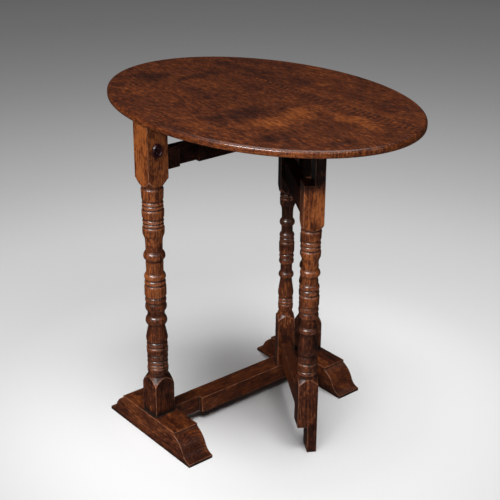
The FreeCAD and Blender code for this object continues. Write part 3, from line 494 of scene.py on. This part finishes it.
def seal_height(share, angle, way):
    """How proud the wax stands, from 0 to 1, at a share of its radius: an uneven lip round a low field with
    six petals, a boss in the middle and a thin ring round them."""
    field = 0.30 + 0.05 * noise.noise(way * share * 5)
    petals = 0.24 * hump(share, 0.36, 0.15) * max(0.0, math.cos(6 * angle)) ** 1.5
    boss = 0.22 * hump(share, 0, 0.10)
    ring = 0.12 * hump(share, 0.60, 0.03)
    lip = hump(share, 0.80, 0.115) * (0.86 + 0.22 * noise.noise(way * 2.3))
    fall = min(1.0, (1 - share) / 0.10) ** 0.5
    pressed = (field + petals + boss + ring) * (share < 0.95)
    return min(0.97, max(0.02, pressed + 0.66 * lip)) * fall


def wax_seal():
    """A blob of wax pressed by a plain rosette, as one closed mesh on the left post's face."""
    low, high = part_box("wax_seal")
    middle = (low + high) / 2
    face, proud = high.y, high.y - low.y
    rim = (high.x - low.x) / 2
    mesh = bpy.data.meshes.new("pressed_wax_seal")
    work = bmesh.new()
    loops = []
    for step in range(1, SEAL_LOOPS + 1):
        share = step / SEAL_LOOPS
        loop = []
        for turn in range(SEAL_TURNS):
            angle = 2 * math.pi * turn / SEAL_TURNS
            way = Vector((math.cos(angle), 0, math.sin(angle)))
            uneven = 0.93 + 0.065 * noise.noise(way * 1.7 + Vector((3, 1, 2)))
            radius = rim * share * uneven
            across = radius * 0.84 - 0.0008
            loop.append(work.verts.new((middle.x + way.x * across,
                                        face - proud * seal_height(share, angle, way),
                                        middle.z + way.z * radius)))
        loops.append(loop)
    centre = work.verts.new((middle.x, face - proud * 0.5, middle.z))
    for turn in range(SEAL_TURNS):
        after = (turn + 1) % SEAL_TURNS
        work.faces.new((centre, loops[0][turn], loops[0][after]))
        for inner, outer in zip(loops, loops[1:]):
            work.faces.new((inner[turn], outer[turn], outer[after], inner[after]))
    work.faces.new(loops[-1])
    bmesh.ops.recalc_face_normals(work, faces=work.faces)
    for polygon in work.faces:
        polygon.smooth = len(polygon.verts) <= 4
    work.to_mesh(mesh)
    work.free()
    seal = bpy.data.objects.new("pressed_wax_seal", mesh)
    bpy.context.scene.collection.objects.link(seal)
    mesh.materials.append(sealing_wax())
    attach(seal, "frame")
    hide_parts("wax_seal")


wax_seal()


# ---------------------------------------------------------------- the studio

FLOOR_RADIUS = 60
FLOOR_DROP = 0.0003
# A pool of light painted on the floor: its grey by the distance from a point under the table, out to the
# last distance.
FLOOR_MIDDLE = (0.05, 0.06, 0)
FLOOR_PAINTED_LIGHT = ((0.0, 0.86), (0.2, 0.9), (0.36, 0.684), (0.63, 0.376), (1.0, 0.399), (1.45, 0.349),
               (1.95, 0.342), (2.8, 0.324), (3.9, 0.431), (4.6, 0.549), (6.0, 0.592))
FLOOR_REACH = FLOOR_PAINTED_LIGHT[-1][0]
BACKDROP_GREY = 0.015


def studio_floor():
    """A wide pale floor with a painted pool of light: lightest round the table and greyer away from it."""
    mesh = bpy.data.meshes.new("studio_floor")
    work = bmesh.new()
    bmesh.ops.create_circle(work, cap_ends=True, segments=96, radius=FLOOR_RADIUS)
    work.to_mesh(mesh)
    work.free()
    floor = bpy.data.objects.new("studio_floor", mesh)
    floor.location.z = -FLOOR_DROP
    bpy.context.scene.collection.objects.link(floor)
    t = Tree("seamless_paper_painted_light")
    away = t.vector("LENGTH", t.vector("SUBTRACT", t.node("TexCoord", {}, "Object"), FLOOR_MIDDLE))
    share = t.math("DIVIDE", away, FLOOR_REACH, clamp=True)
    stops = [(distance / FLOOR_REACH, (grey, grey, grey, 1)) for distance, grey in FLOOR_PAINTED_LIGHT]
    colour = t.ramp(share, stops, "B_SPLINE")
    mesh.materials.append(t.finish(t.node("BsdfPrincipled", {
        "Base Color": colour, "Roughness": 0.9, "Specular IOR Level": 0.1})))
    floor.visible_glossy = False


def softbox(name, place, target, size, power, floor_light=None):
    """A rectangular studio light of a width and height, at a place and facing a target. With floor_light
    False it spares the floor, and with True it lights only that."""
    data = bpy.data.lights.new(name, "AREA")
    data.shape = "RECTANGLE"
    data.size, data.size_y = size
    data.energy = power
    lamp = bpy.data.objects.new(name, data)
    lamp.location = place
    lamp.rotation_euler = (Vector(target) - Vector(place)).to_track_quat("-Z", "Y").to_euler()
    bpy.context.scene.collection.objects.link(lamp)
    if floor_light is not None:
        lit = bpy.data.collections.new(f"{name}_light")
        lit.objects.link(bpy.data.objects["studio_floor"])
        lit.collection_objects[0].light_linking.link_state = "INCLUDE" if floor_light else "EXCLUDE"
        lamp.light_linking.receiver_collection = lit


# The camera high in front of the table's near left side, with its angles in degrees and its lens and
# sensor in millimetres.
CAMERA_PLACE = (-1.2814, -1.5202, 1.2651)
CAMERA_YAW, CAMERA_PITCH, CAMERA_ROLL = 39.629, 23.960, 0.374
CAMERA_LENS, CAMERA_SENSOR = 77.56, 36


def camera():
    """The camera, turned about Z by its yaw from looking along +Y, then down by its pitch, then rolled."""
    yaw, pitch, roll = (math.radians(angle) for angle in (CAMERA_YAW, CAMERA_PITCH, CAMERA_ROLL))
    ahead = Vector((math.sin(yaw) * math.cos(pitch), math.cos(yaw) * math.cos(pitch), -math.sin(pitch)))
    right = Vector((math.cos(yaw), -math.sin(yaw), 0))
    up = right.cross(ahead)
    right, up = (right * math.cos(roll) + up * math.sin(roll),
                 up * math.cos(roll) - right * math.sin(roll))
    data = bpy.data.cameras.new("camera")
    data.lens = CAMERA_LENS
    data.sensor_width = CAMERA_SENSOR
    data.clip_start, data.clip_end = 0.05, 100
    eye = bpy.data.objects.new("camera", data)
    facing = Matrix((right, up, -ahead)).transposed().to_4x4()
    eye.matrix_world = Matrix.Translation(CAMERA_PLACE) @ facing
    bpy.context.scene.collection.objects.link(eye)
    bpy.context.scene.camera = eye


studio_floor()
softbox("key", (-2.1, -0.46, 1.92), (0, 0, 0.45), size=(1.3, 0.32), power=58, floor_light=False)
softbox("overhead", (0.1, 0.1, 3.1), (0, 0, 0), size=(2.6, 2.6), power=50)
softbox("floor_wash", (-0.37, -0.55, 3.1), (0, 0, 0), size=(2.2, 2.2), power=180, floor_light=True)
softbox("front_strip", (-1.45, -1.9, 2.3), (0, 0, 0.45), size=(3.2, 0.14), power=22, floor_light=False)
softbox("right_front", (0.9, -2.6, 1.9), (0, 0, 0.5), size=(0.7, 0.7), power=3, floor_light=False)
camera()

world = bpy.data.worlds.new("studio")
world.use_nodes = True
backdrop = world.node_tree.nodes["Background"]
backdrop.inputs["Color"].default_value = (BACKDROP_GREY, BACKDROP_GREY, BACKDROP_GREY, 1)
bpy.context.scene.world = world
bpy.context.scene.view_settings.view_transform = "Standard"
